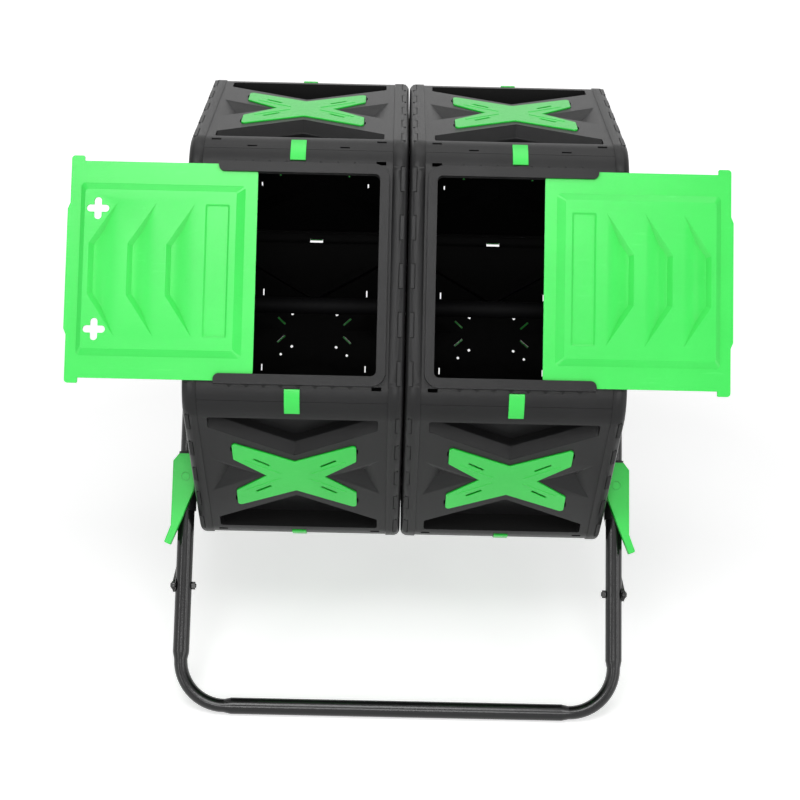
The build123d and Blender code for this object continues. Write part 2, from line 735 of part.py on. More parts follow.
def leg_frame(sign, paddle_shift):
    """U-shaped frame with its two tops pressed flat and drilled for the axle bolt."""
    body = tube_run(tube_r) - tube_run(tube_r - tube_wall)
    for sx in (-1, 1):
        x = sx * leg_x
        px = x + sx * paddle_shift
        neck_low = Plane(origin=(x, -(paddle_run + neck_run), 0), x_dir=(1, 0, 0), z_dir=(0, 1, 0))
        neck_high = Plane(origin=(px, -paddle_run, 0), x_dir=(1, 0, 0), z_dir=(0, 1, 0))
        section = fillet(Rectangle(paddle_thick, paddle_width).vertices(), paddle_edge)
        neck = loft([neck_low * Circle(tube_r), neck_high * section])
        flat = neck_high * extrude(section, paddle_run)
        half = section & Pos(0, paddle_width / 4, 0) * Rectangle(paddle_thick, paddle_width / 2)
        head = revolve(neck_high.offset(paddle_run) * half, Axis((px, 0, 0), (1, 0, 0)), 180)
        body = body + (neck + flat + head)
        body = body - rod(axle_bolt_dia / 2 + bolt_clearance, (px - 20, 0, 0), (px + 20, 0, 0))
        body = body - rod(brace_bolt_dia / 2 + bolt_clearance, (x - 20, -brace_station, 0), (x + 20, -brace_station, 0))
    if sign < 0:
        for sx in (-1, 1):
            x = sx * leg_x
            body = body - rod(pin_dia / 2 + bolt_clearance, (x, -lever_station, -20), (x, -lever_station, 20))
    return leg_plane(sign) * body


parts = {}
parts["front_leg_frame"] = leg_frame(-1, -paddle_thick / 2)
parts["rear_leg_frame"] = leg_frame(1, paddle_thick / 2)

paddle_inner = leg_x - paddle_thick
paddle_outer = leg_x + paddle_thick
axle_r = axle_dia / 2
h = axle_height


def axle_rod(radius, x0, x1):
    return rod(radius, (x0, 0, h), (x1, 0, h))


parts["axle_tube"] = axle_rod(axle_r, -paddle_inner, paddle_inner) - axle_rod(axle_r - axle_wall, -paddle_inner, paddle_inner)


def pair(shape):
    """A piece and its mirror image on the other side of the stand."""
    return Compound(children=[shape, mirror(shape, about=Plane.YZ)])


plug = axle_rod(axle_r - axle_wall - 0.02, paddle_inner - plug_length, paddle_inner)
plug = plug - axle_rod(axle_bolt_dia / 2 + 0.02, paddle_inner - plug_length - 5, paddle_inner + 5)
parts["axle_end_plugs"] = pair(plug)

washer_thick = 2.0
washer = axle_rod(13.0, paddle_outer, paddle_outer + washer_thick)
washer = washer - axle_rod(axle_bolt_dia / 2 + bolt_clearance, paddle_outer - 5, paddle_outer + 5)
parts["axle_washers"] = pair(washer)

head_x = paddle_outer + washer_thick
hex_plane = Plane(origin=(head_x, 0, h), x_dir=(0, 1, 0), z_dir=(1, 0, 0))
bolt = hex_plane * extrude(RegularPolygon(8.5, 6, major_radius=False), 6.4)
bolt = bolt + axle_rod(axle_bolt_dia / 2, paddle_inner - plug_length + 2, head_x)
parts["axle_bolts"] = pair(bolt)

spacer_inner = drum_outer + bush_flange + 0.5
spacer = axle_rod(axle_r + axle_play + spacer_wall, spacer_inner, paddle_inner - 0.1)
spacer = spacer - axle_rod(axle_r + 0.05, spacer_inner - 5, paddle_inner + 5)
parts["axle_spacers"] = pair(spacer)

# flat braces bolted to the outer sides of both frames
brace_x = leg_x + tube_r + 0.2
brace_front = leg_point(-1, 0, brace_station)
brace_rear = leg_point(1, 0, brace_station)
for name, sx in (("left_side_brace", -1), ("right_side_brace", 1)):
    z = brace_front[2]
    x0, x1 = sorted((sx * brace_x, sx * (brace_x + brace_thick)))
    bar = box(x0, x1, brace_front[1], brace_rear[1], z - brace_height / 2, z + brace_height / 2)
    for y in (brace_front[1], brace_rear[1]):
        bar = bar + rod(brace_height / 2, (x0, y, z), (x1, y, z))
    for y in (brace_front[1], brace_rear[1]):
        bar = bar - rod(brace_bolt_dia / 2 + bolt_clearance, (x0 - 5, y, z), (x1 + 5, y, z))
    parts[name] = bar

brace_bolts = []
brace_nuts = []
dome_x = brace_x + brace_thick
nut_thick = 5.0
nut_x = leg_x - tube_r - 0.2
for y in (brace_front[1], brace_rear[1]):
    z = brace_front[2]
    shank = rod(brace_bolt_dia / 2, (nut_x - nut_thick - 1.5, y, z), (dome_x, y, z))
    dome_plane = Plane(origin=(dome_x, y, z), x_dir=(0, 1, 0), z_dir=(1, 0, 0))
    dome = dome_plane * extrude(Circle(dome_radius), dome_height)
    dome = chamfer(dome.edges().sort_by(Axis.X)[-1], dome_height * 0.7, dome_height * 0.8)
    brace_bolts.append(shank + dome)
    nut_plane = Plane(origin=(nut_x - nut_thick, y, z), x_dir=(0, 1, 0), z_dir=(1, 0, 0))
    nut = nut_plane * extrude(RegularPolygon(5.0, 6, major_radius=False), nut_thick)
    brace_nuts.append(nut - rod(brace_bolt_dia / 2 + 0.02, (nut_x - nut_thick - 5, y, z), (nut_x + 5, y, z)))
parts["brace_bolts"] = Compound(children=[s for b in brace_bolts for s in (b, mirror(b, about=Plane.YZ))])
parts["brace_nuts"] = Compound(children=[s for b in brace_nuts for s in (b, mirror(b, about=Plane.YZ))])

# ---------------------------------------------------------------- lock levers on the front legs
lever_back = lever_front - lever_face
leg_front = leg_plane(-1)


def lever_outline():
    """Outline in the leg's plane for the right leg: x outward from the leg, y down from the pivot."""
    return [
        (-2.5, nose_high), (11.0, nose_high), (19.5, 23), (19.5, -72), (28.5, -97), (19.0, -101),
        (-12.5, -21), (-15.0, 15), (-nose_reach, nose_low), (-nose_reach, nose_high),
    ]


def lever_shape():
    """Rocker lever for the right leg: a face, a deep outer wall, a skirt and a nose."""
    pts = lever_outline()
    face = make_face(Polyline(*pts, close=True))
    face = fillet([v for v in face.vertices() if v.X > 9 or v.Y < -90], 2.0)
    body = Pos(0, 0, lever_back - lever_skirt) * extrude(face, lever_face + lever_skirt)
    body = chamfer(body.faces().sort_by(Axis.Z)[-1].edges(), 1.0)
    inner = [
        (-9, 30), (9.5, 30), (19.5 - lever_wall, 21.5), (19.5 - lever_wall, -72.5), (22.5, -92.5), (19.5, -94.0), (-8.2, -22), (-9, -16),
    ]
    body = body - prism(inner, lever_back - lever_skirt - 5, lever_back)
    wall = prism([(19.5 - lever_wall, wall_top), (19.5, wall_top), (19.5, -72), (27.0, -92.5), (22.5, -92.5),
                  (19.5 - lever_wall, -72.5)], lever_front - lever_side, lever_front - 2)
    body = body + wall
    clear = tube_r + saddle_wall + 1.0
    nose = box(-nose_reach, -clear, nose_low, nose_high, nose_back, lever_back)
    body = body + nose
    body = body + Pos(0, 0, lever_back - lever_skirt + 0.4) * extrude(Circle(8.5), lever_skirt)
    body = body - Pos(0, 0, -20) * extrude(Circle(pin_dia / 2 + pin_play), 60)
    body = body - Pos(0, 0, lever_front - pin_head - 0.3) * extrude(Circle(pin_head_dia / 2 + 0.35), 20)
    return body


def saddle_shape():
    """Plastic saddle round the tube, with the pad that carries the lever's pin."""
    tube = rod(tube_r + saddle_wall, (0, -saddle_bottom, 0), (0, saddle_top, 0))
    pad_high = lever_back - lever_skirt - 0.2
    pad = box(-saddle_pad + 3, saddle_pad - 3, -saddle_pad, saddle_pad, 0, pad_high)
    body = tube + pad
    body = body - rod(tube_r + 0.1, (0, -saddle_bottom - 5, 0), (0, saddle_top + 5, 0))
    return body - rod(pin_dia / 2 + 0.02, (0, 0, -30), (0, 0, 30))


def pin_shape():
    """Pivot pin: flush head in the lever, shank through the saddle and the tube."""
    shank = rod(pin_dia / 2, (0, 0, -tube_r - saddle_wall - 4), (0, 0, lever_front - pin_head))
    head = rod(pin_head_dia / 2, (0, 0, lever_front - pin_head), (0, 0, lever_front))
    cap = rod(pin_head_dia / 2, (0, 0, -tube_r - saddle_wall - 4), (0, 0, -tube_r - saddle_wall - 0.1))
    return shank + head + cap


def on_leg(shape, sx):
    placed = Pos(leg_x, -lever_station, 0) * shape
    if sx < 0:
        placed = mirror(placed, about=Plane.YZ)
    return leg_front * placed


for name, sx in (("left", -1), ("right", 1)):
    parts[name + "_lock_lever"] = on_leg(lever_shape(), sx)
    parts[name + "_lever_saddle"] = on_leg(saddle_shape(), sx)
parts["lever_pins"] = Compound(children=[on_leg(pin_shape(), -1), on_leg(pin_shape(), 1)])

# ---------------------------------------------------------------- the two drums
vent_panel = vent_panel_shape()
x_plate = x_plate_shape()
clip = clip_shape()
door_panel = door_panel_shape()
rail_frame = rail_frame_shape()
end_cap = end_cap_shape()
bush = bush_shape()
panel_names = {1: "top_panel", 2: "upper_back_panel", 3: "lower_back_panel", 4: "bottom_panel", 5: "lower_front_panel"}

for name, sx, open_by in (("left", -1, left_open), ("right", 1, right_open)):
    flip = (lambda s: s) if sx < 0 else (lambda s: mirror(s, about=Plane.YZ))
    for k, label in panel_names.items():
        parts[name + "_" + label] = face_plane(sx, k) * vent_panel
    parts[name + "_door_panel"] = face_plane(sx, 0) * flip(door_panel)
    parts[name + "_door_rails"] = face_plane(sx, 0) * flip(rail_frame)
    parts[name + "_vent_plates"] = Compound(children=[face_plane(sx, k) * x_plate for k in panel_names])
    parts[name + "_panel_clips"] = Compound(children=[face_plane(sx, k) * clip for k in range(6)])
    # caps: the same moulding at both ends, turned so that side 0 is the door side
    for end, x in (("outer", drum_outer), ("inner", drum_inner)):
        facing = sx if end == "outer" else -sx
        for part_name, shape in (("_end_cap", end_cap), ("_bush", bush)):
            placed = Rot(90 - door_tilt, 0, 0) * shape
            if facing < 0:
                placed = mirror(placed, about=Plane.YZ)
            parts[name + "_" + end + part_name] = Pos(sx * x, 0, h) * placed
    door = Pos(door_shut_end - open_by, 0, 0) * door_shape(sx < 0)
    parts[name + "_door"] = face_plane(sx, 0) * flip(door)

os.makedirs("parts", exist_ok=True)
for name, shape in parts.items():
    export_step(shape, "parts/" + name + ".step")
print(len(parts), "parts, axle height", round(axle_height, 1), "apothem", round(apothem, 1))
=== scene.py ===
import bpy
import bmesh
import json
import math
from mathutils import Matrix, Vector


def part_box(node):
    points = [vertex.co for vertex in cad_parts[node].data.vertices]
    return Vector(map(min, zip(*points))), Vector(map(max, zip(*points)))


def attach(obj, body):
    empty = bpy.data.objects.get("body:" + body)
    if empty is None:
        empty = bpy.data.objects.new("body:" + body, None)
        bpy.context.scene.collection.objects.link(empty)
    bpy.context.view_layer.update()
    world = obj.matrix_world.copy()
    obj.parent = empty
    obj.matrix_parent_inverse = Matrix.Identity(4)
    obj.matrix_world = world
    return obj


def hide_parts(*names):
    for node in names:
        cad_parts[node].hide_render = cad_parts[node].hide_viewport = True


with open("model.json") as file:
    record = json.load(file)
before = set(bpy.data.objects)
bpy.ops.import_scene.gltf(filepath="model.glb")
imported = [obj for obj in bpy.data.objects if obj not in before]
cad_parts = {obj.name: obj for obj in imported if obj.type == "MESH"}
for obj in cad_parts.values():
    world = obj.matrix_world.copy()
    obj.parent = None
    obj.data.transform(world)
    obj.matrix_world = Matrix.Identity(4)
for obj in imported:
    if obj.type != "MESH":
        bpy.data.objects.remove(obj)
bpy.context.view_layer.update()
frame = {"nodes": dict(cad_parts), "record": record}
sides = ("left", "right")
print("frame loaded")


# ---- materials ----

def newTree(name):
    mat = bpy.data.materials.new(name)
    mat.use_nodes = True
    nodes = mat.node_tree.nodes
    return mat, nodes, mat.node_tree.links, nodes["Principled BSDF"]


def newGroup(name, inputs, outputs):
    group = bpy.data.node_groups.new(name, "ShaderNodeTree")
    for label, kind, value in inputs:
        item = group.interface.new_socket(label, in_out="INPUT", socket_type="NodeSocket" + kind)
        if value is not None:
            item.default_value = value
    for label, kind in outputs:
        group.interface.new_socket(label, in_out="OUTPUT", socket_type="NodeSocket" + kind)
    inNode = group.nodes.new("NodeGroupInput")
    outNode = group.nodes.new("NodeGroupOutput")
    return group, inNode, outNode


def mathNode(nodes, links, operation, a, b=None):
    node = nodes.new("ShaderNodeMath")
    node.operation = operation
    for slot, value in enumerate((a, b)):
        if value is None:
            continue
        if isinstance(value, (int, float)):
            node.inputs[slot].default_value = value
        else:
            links.new(value, node.inputs[slot])
    return node.outputs[0]


def noiseNode(nodes, links, vector, scale, detail=3.0, rough=0.5):
    node = nodes.new("ShaderNodeTexNoise")
    node.inputs["Scale"].default_value = scale
    node.inputs["Detail"].default_value = detail
    node.inputs["Roughness"].default_value = rough
    links.new(vector, node.inputs["Vector"])
    return node.outputs["Fac"]


def rampNode(nodes, links, value, low, high):
    node = nodes.new("ShaderNodeMapRange")
    node.inputs["From Min"].default_value = low
    node.inputs["From Max"].default_value = high
    links.new(value, node.inputs["Value"])
    return node.outputs["Result"]


# spark-eroded mould grain: a fine pebble height and the gloss change that goes with it
def makeMouldGrain():
    group, src, out = newGroup("mouldGrain", [("Vector", "Vector", None), ("Pebble", "Float", 900.0)],
                               [("Height", "Float"), ("Gloss", "Float")])
    nodes, links = group.nodes, group.links
    pebble = nodes.new("ShaderNodeTexVoronoi")
    pebble.feature = "F1"
    links.new(src.outputs["Vector"], pebble.inputs["Vector"])
    links.new(src.outputs["Pebble"], pebble.inputs["Scale"])
    fine = nodes.new("ShaderNodeTexNoise")
    fine.inputs["Detail"].default_value = 2.0
    links.new(src.outputs["Vector"], fine.inputs["Vector"])
    links.new(mathNode(nodes, links, "MULTIPLY", src.outputs["Pebble"], 2.2), fine.inputs["Scale"])
    height = mathNode(nodes, links, "ADD", pebble.outputs["Distance"],
                      mathNode(nodes, links, "MULTIPLY", fine.outputs["Fac"], 0.6))
    links.new(height, out.inputs["Height"])
    links.new(rampNode(nodes, links, fine.outputs["Fac"], 0.3, 0.7), out.inputs["Gloss"])
    return group


# cloudy change of tone from the melt's flow, and faint long scuffs from handling
def makeFlowAndScuffs():
    group, src, out = newGroup("flowAndScuffs", [("Vector", "Vector", None), ("Cloud", "Float", 9.0), ("Scuff", "Float", 40.0)],
                               [("Flow", "Float"), ("Scuffs", "Float")])
    nodes, links = group.nodes, group.links
    cloud = nodes.new("ShaderNodeTexNoise")
    cloud.inputs["Detail"].default_value = 4.0
    cloud.inputs["Distortion"].default_value = 0.8
    links.new(src.outputs["Vector"], cloud.inputs["Vector"])
    links.new(src.outputs["Cloud"], cloud.inputs["Scale"])
    links.new(rampNode(nodes, links, cloud.outputs["Fac"], 0.3, 0.7), out.inputs["Flow"])
    turned = nodes.new("ShaderNodeMapping")
    turned.inputs["Rotation"].default_value = (0.3, 0.5, 0.7)
    turned.inputs["Scale"].default_value = (1.0, 9.0, 9.0)
    links.new(src.outputs["Vector"], turned.inputs["Vector"])
    scratch = nodes.new("ShaderNodeTexNoise")
    scratch.inputs["Detail"].default_value = 5.0
    scratch.inputs["Roughness"].default_value = 0.7
    links.new(turned.outputs["Vector"], scratch.inputs["Vector"])
    links.new(src.outputs["Scuff"], scratch.inputs["Scale"])
    links.new(rampNode(nodes, links, scratch.outputs["Fac"], 0.62, 0.74), out.inputs["Scuffs"])
    return group


# thin pale dust that settles on faces that look up
def makeDust():
    group, src, out = newGroup("dust", [("Vector", "Vector", None), ("Facing", "Vector", None), ("Amount", "Float", 0.2)],
                               [("Mask", "Float")])
    nodes, links = group.nodes, group.links
    split = nodes.new("ShaderNodeSeparateXYZ")
    links.new(src.outputs["Facing"], split.inputs[0])
    up = rampNode(nodes, links, split.outputs["Z"], 0.2, 1.0)
    patch = nodes.new("ShaderNodeTexNoise")
    patch.inputs["Scale"].default_value = 22.0
    patch.inputs["Detail"].default_value = 6.0
    links.new(src.outputs["Vector"], patch.inputs["Vector"])
    spread = rampNode(nodes, links, patch.outputs["Fac"], 0.35, 0.8)
    links.new(mathNode(nodes, links, "MULTIPLY", mathNode(nodes, links, "MULTIPLY", up, spread), src.outputs["Amount"]),
              out.inputs["Mask"])
    return group


# painted shade: a mask for faces that look towards the axle, inside a drum, which get a near-black colour there
def makeInsideShadeGroup():
    group, src, out = newGroup("insideFilm", [("Vector", "Vector", None), ("Facing", "Vector", None),
                                              ("Axle", "Vector", None)], [("Mask", "Float")])
    nodes, links = group.nodes, group.links
    outward = nodes.new("ShaderNodeVectorMath")
    outward.operation = "SUBTRACT"
    links.new(src.outputs["Vector"], outward.inputs[0])
    links.new(src.outputs["Axle"], outward.inputs[1])
    square = nodes.new("ShaderNodeVectorMath")
    square.operation = "MULTIPLY"
    square.inputs[1].default_value = (0, 1, 1)
    links.new(outward.outputs[0], square.inputs[0])
    away = nodes.new("ShaderNodeVectorMath")
    away.operation = "DOT_PRODUCT"
    links.new(square.outputs[0], away.inputs[0])
    links.new(src.outputs["Facing"], away.inputs[1])
    links.new(rampNode(nodes, links, away.outputs["Value"], -0.03, -0.09), out.inputs["Mask"])
    return group


mouldGrain = makeMouldGrain()
flowAndScuffs = makeFlowAndScuffs()
dust = makeDust()
insideFilm = makeInsideShadeGroup()


def placeGroup(nodes, links, group, vector, **values):
    node = nodes.new("ShaderNodeGroup")
    node.node_tree = group
    links.new(vector, node.inputs["Vector"])
    for label, value in values.items():
        node.inputs[label].default_value = value
    return node


def mixColour(nodes, links, factor, a, b):
    node = nodes.new("ShaderNodeMix")
    node.data_type = "RGBA"
    for slot, value in ((6, a), (7, b)):
        if isinstance(value, tuple):
            node.inputs[slot].default_value = (*value, 1.0)
        else:
            links.new(value, node.inputs[slot])
    links.new(factor, node.inputs[0])
    return node.outputs[2]


def scaled(nodes, links, value, factor, offset=0.0):
    return mathNode(nodes, links, "ADD", mathNode(nodes, links, "MULTIPLY", value, factor), offset)


# an injection-moulded plastic in one colour
def mouldedPlastic(name, look):
    mat, nodes, links, shader = newTree(name)
    coords = nodes.new("ShaderNodeTexCoord")
    place, facing = coords.outputs["Object"], coords.outputs["Normal"]
    grain = placeGroup(nodes, links, mouldGrain, place, Pebble=look["pebble"])
    flow = placeGroup(nodes, links, flowAndScuffs, place, Cloud=look["cloud"], Scuff=look["scuff"])
    settled = placeGroup(nodes, links, dust, place, Amount=look["dust"])
    links.new(facing, settled.inputs["Facing"])
    colour = mixColour(nodes, links, flow.outputs["Flow"], look["deep"], look["pale"])
    marked = mixColour(nodes, links, scaled(nodes, links, flow.outputs["Scuffs"], look["scuffShow"]), colour, look["scuffed"])
    dustAndShade = mixColour(nodes, links, settled.outputs["Mask"], marked, look["dustTone"])
    rough = scaled(nodes, links, grain.outputs["Gloss"], look["glossSpread"], look["rough"])
    # painted shade: an ambient-occlusion mask darkens the colour to a deep green in creases and recesses, where shade
    # falls
    if "crease" in look:
        occlusionProbe = nodes.new("ShaderNodeAmbientOcclusion")
        occlusionProbe.samples = 6
        occlusionProbe.inputs["Distance"].default_value = look["creaseReach"]
        creaseShadeMask = rampNode(nodes, links, occlusionProbe.outputs["AO"], 0.93, 0.62)
        dustAndShade = mixColour(nodes, links, creaseShadeMask, dustAndShade, look["crease"])
    # painted shade: faces inside a drum that look towards the axle get a near-black colour and more roughness
    if "film" in look:
        film = placeGroup(nodes, links, insideFilm, place, Axle=look["axle"])
        links.new(facing, film.inputs["Facing"])
        dustAndShade = mixColour(nodes, links, film.outputs["Mask"], dustAndShade, look["film"])
        rough = mathNode(nodes, links, "ADD", rough, scaled(nodes, links, film.outputs["Mask"], look["filmRough"]))
    links.new(dustAndShade, shader.inputs["Base Color"])
    rough = mathNode(nodes, links, "ADD", rough, scaled(nodes, links, flow.outputs["Scuffs"], 0.08))
    links.new(rough, shader.inputs["Roughness"])
    bump = nodes.new("ShaderNodeBump")
    bump.inputs["Strength"].default_value = look["bump"]
    bump.inputs["Distance"].default_value = 0.0002
    links.new(grain.outputs["Height"], bump.inputs["Height"])
    links.new(bump.outputs["Normal"], shader.inputs["Normal"])
    shader.inputs["Specular IOR Level"].default_value = look["specular"]
    return mat


blackLook = {
    "deep": (0.0085, 0.0085, 0.0088), "pale": (0.0125, 0.0125, 0.013), "scuffed": (0.036, 0.036, 0.037), "scuffShow": 0.22,
    "dustTone": (0.06, 0.059, 0.055), "dust": 0.10, "rough": 0.27, "glossSpread": 0.10, "pebble": 1300.0,
    # the near-black painted shade inside the drums, the roughness it adds, and where the axle is
    "film": (0.0015, 0.0015, 0.0015), "filmRough": 0.35, "axle": (0.0, 0.0, 0.50925),
    "cloud": 7.0, "scuff": 34.0, "bump": 0.55, "specular": 0.20,
}
greenLook = {
    "deep": (0.034, 0.70, 0.082), "pale": (0.044, 0.76, 0.096), "scuffed": (0.12, 0.84, 0.18), "scuffShow": 0.18,
    "dustTone": (0.3, 0.8, 0.3), "dust": 0.03, "rough": 0.25, "glossSpread": 0.07, "pebble": 1700.0,
    "cloud": 6.0, "scuff": 30.0, "bump": 0.22, "specular": 0.48,
    # the painted shade tone for creases and recesses, and how far the occlusion looks
    "crease": (0.008, 0.50, 0.030), "creaseReach": 0.020,
}
bearingLook = {
    "deep": (0.62, 0.62, 0.58), "pale": (0.72, 0.72, 0.68), "scuffed": (0.4, 0.4, 0.38), "scuffShow": 0.3,
    "dustTone": (0.4, 0.4, 0.36), "dust": 0.1, "rough": 0.34, "glossSpread": 0.08, "pebble": 2200.0,
    "cloud": 30.0, "scuff": 80.0, "bump": 0.2, "specular": 0.5,
}
blackPlastic = mouldedPlastic("blackPlastic", blackLook)
greenPlastic = mouldedPlastic("greenPlastic", greenLook)
bearingPlastic = mouldedPlastic("bearingPlastic", bearingLook)


# gloss powder coat on the bent tube
def powderCoat(name, look):
    mat, nodes, links, shader = newTree(name)
    coords = nodes.new("ShaderNodeTexCoord")
    place, facing = coords.outputs["Object"], coords.outputs["Normal"]
    peel = noiseNode(nodes, links, place, look["peel"], 2.0)
    flow = placeGroup(nodes, links, flowAndScuffs, place, Cloud=14.0, Scuff=look["scuff"])
    settled = placeGroup(nodes, links, dust, place, Amount=look["dust"])
    links.new(facing, settled.inputs["Facing"])
    marked = mixColour(nodes, links, scaled(nodes, links, flow.outputs["Scuffs"], look["scuffShow"]), look["paint"], look["scuffed"])
    links.new(mixColour(nodes, links, settled.outputs["Mask"], marked, look["dustTone"]), shader.inputs["Base Color"])
    rough = scaled(nodes, links, flow.outputs["Flow"], 0.06, look["rough"])
    links.new(mathNode(nodes, links, "ADD", rough, scaled(nodes, links, flow.outputs["Scuffs"], 0.15)), shader.inputs["Roughness"])
    bump = nodes.new("ShaderNodeBump")
    bump.inputs["Strength"].default_value = 0.35
    bump.inputs["Distance"].default_value = 0.0003
    links.new(peel, bump.inputs["Height"])
    links.new(bump.outputs["Normal"], shader.inputs["Normal"])
    shader.inputs["Specular IOR Level"].default_value = look["specular"]
    return mat


def platedSteel(name, look):
    mat, nodes, links, shader = newTree(name)
    place = nodes.new("ShaderNodeTexCoord").outputs["Object"]
    stretched = nodes.new("ShaderNodeMapping")
    stretched.inputs["Scale"].default_value = (1.0, 14.0, 14.0)
    links.new(place, stretched.inputs["Vector"])
    brushed = noiseNode(nodes, links, stretched.outputs["Vector"], look["brush"], 4.0, 0.6)
    blotch = noiseNode(nodes, links, place, look["blotch"], 5.0, 0.6)
    links.new(mixColour(nodes, links, blotch, look["dull"], look["bright"]), shader.inputs["Base Color"])
    links.new(scaled(nodes, links, brushed, 0.25, look["rough"]), shader.inputs["Roughness"])
    shader.inputs["Metallic"].default_value = 1.0
    bump = nodes.new("ShaderNodeBump")
    bump.inputs["Strength"].default_value = 0.2
    bump.inputs["Distance"].default_value = 0.0001
    links.new(brushed, bump.inputs["Height"])
    links.new(bump.outputs["Normal"], shader.inputs["Normal"])
    return mat


tubeLook = {
    "paint": (0.006, 0.006, 0.0065), "scuffed": (0.03, 0.03, 0.03), "scuffShow": 0.15, "peel": 380.0, "scuff": 60.0,
    "rough": 0.16, "specular": 0.42, "dust": 0.06, "dustTone": (0.06, 0.058, 0.053),
}
steelLook = {"dull": (0.42, 0.42, 0.41), "bright": (0.66, 0.66, 0.67), "brush": 260.0, "blotch": 120.0, "rough": 0.22}
axleLook = {**tubeLook, "rough": 0.60, "specular": 0.08, "dust": 0.02}  # dulled by what the drums hold
blackPaint = powderCoat("blackPaint", tubeLook)
axlePaint = powderCoat("axlePaint", axleLook)
zincSteel = platedSteel("zincSteel", steelLook)
print("materials made")

finishes = {
    "black_tube": blackPaint, "black_plastic": blackPlastic, "green_plastic": greenPlastic,
    "bearing_plastic": bearingPlastic, "zinc_steel": zincSteel,
}
slotOf = {entry["node"]: entry["material_slot"] for entry in frame["record"]["subparts"]}
bodyOf = {node: body for body, members in frame["record"]["behaviour"]["bodies"].items() for node in members}


def dress(obj, finish):
    obj.data.materials.clear()
    obj.data.materials.append(finish)


for node, obj in frame["nodes"].items():
    dress(obj, axlePaint if node == "axle_tube" else finishes[slotOf[node]])


# ---- pieces ----

# the faces that are out of one plane by more than this are kept as separate faces
cleaning = {"merge": 0.00001, "flat": 0.6, "sharp": 32, "weight": 100}


def newPiece(node, name, bm):
    mesh = bpy.data.meshes.new(name)
    for face in bm.faces:
        face.smooth = True
    bm.to_mesh(mesh)
    bm.free()
    obj = bpy.data.objects.new(name, mesh)
    bpy.context.scene.collection.objects.link(obj)
    dress(obj, finishes[slotOf[node]])
    mesh.set_sharp_from_angle(angle=math.radians(cleaning["sharp"]))
    even = obj.modifiers.new("evenShading", "WEIGHTED_NORMAL")
    even.mode = "FACE_AREA"
    even.weight = cleaning["weight"]
    even.keep_sharp = True
    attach(obj, bodyOf[node])
    return obj


def copiedSolid(node, plain=True):
    bm = bmesh.new()
    bm.from_mesh(frame["nodes"][node].data)
    bmesh.ops.remove_doubles(bm, verts=bm.verts, dist=cleaning["merge"])
    if not plain:
        return bm
    bmesh.ops.dissolve_limit(bm, angle_limit=math.radians(cleaning["flat"]), verts=bm.verts, edges=bm.edges)
    bmesh.ops.dissolve_degenerate(bm, dist=cleaning["merge"], edges=bm.edges)
    return bm


def roundEdges(bm, edge):
    crisp = [e for e in bm.edges if len(e.link_faces) == 2 and e.calc_face_angle(0) > math.radians(edge["angle"])]
    bmesh.ops.bevel(bm, geom=crisp, offset=edge["radius"], offset_type="OFFSET", segments=edge["steps"], profile=0.5,
                    affect="EDGES", clamp_overlap=True, material=-1, loop_slide=True)


def camelName(words):
    first, *rest = words.split("_")
    return first + "".join(word.title() for word in rest)


axleHeight = 0.50925
ventPanels = ("top_panel", "bottom_panel", "lower_front_panel", "lower_back_panel", "upper_back_panel")
rampLook = {"half": 0.1146, "shoulder": 0.1172, "tip": 0.0522, "slopeWide": 0.0095, "slopeDeep": 0.0175, "floor": 0.0283,
            "behind": 0.0004, "lip": 0.0015}
ribLook = {"x": 0.046, "u": 0.0225, "slope": 33, "long": 0.058, "wide": 0.0030, "proud": 0.0006, "high": 0.0014}


# x along the axle, y across the panel, z out of its face
def panelFrame(middleX, turn, surface):
    place = Matrix.Translation((middleX, 0, axleHeight)) @ Matrix.Rotation(turn, 4, "X")
    return place @ Matrix.Translation((0, 0, surface))


def middleOf(node):
    low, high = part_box(node)
    return [(a + b) / 2 for a, b in zip(low, high)]


# the drafted lower wall of each V trough: a slope, then a drop from its lip to the floor
def troughRamps(bm, node):
    middleX, y, z = middleOf(node)
    turn = round(math.atan2(-y, z - axleHeight) / math.radians(60)) * math.radians(60)
    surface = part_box(node.split("_")[0] + "_top_panel")[1][2] - axleHeight
    wide, deep, floor, behind = (rampLook[key] for key in ("slopeWide", "slopeDeep", "floor", "behind"))
    section = ((-behind, -0.0002), (wide, -deep), (wide, -floor), (-behind, -floor))
    half, rise = rampLook["half"], rampLook["shoulder"] - rampLook["tip"]
    for flip in (0, 180):
        place = panelFrame(middleX, turn, surface) @ Matrix.Rotation(math.radians(flip), 4, "Z")
        verts = [bm.verts.new((-half, rampLook["shoulder"] + u, depth)) for u, depth in section]
        made, face = list(verts), bm.faces.new(verts)
        for step in ((half, -rise, 0), (half, rise, 0)):
            grown = bmesh.ops.extrude_face_region(bm, geom=[face])["geom"]
            ring = [item for item in grown if isinstance(item, bmesh.types.BMVert)]
            if face is not None and len(made) > len(verts):
                bm.faces.remove(face)
            face = next(item for item in grown if isinstance(item, bmesh.types.BMFace))
            bmesh.ops.translate(bm, verts=ring, vec=step)
            made += ring
        lips = [e for e in bm.edges if e.verts[0] in made and e.verts[1] in made
                and all(abs(v.co.z + deep) < 0.0001 for v in e.verts)]
        faces = list({f for v in made for f in v.link_faces})
        bmesh.ops.recalc_face_normals(bm, faces=faces)
        soft = bmesh.ops.bevel(bm, geom=lips, offset=rampLook["lip"], offset_type="OFFSET", segments=2, profile=0.5,
                               affect="EDGES", clamp_overlap=True, material=-1, loop_slide=True)
        moved = {v for v in made if v.is_valid} | set(soft["verts"])
        bmesh.ops.transform(bm, matrix=place, verts=list(moved))


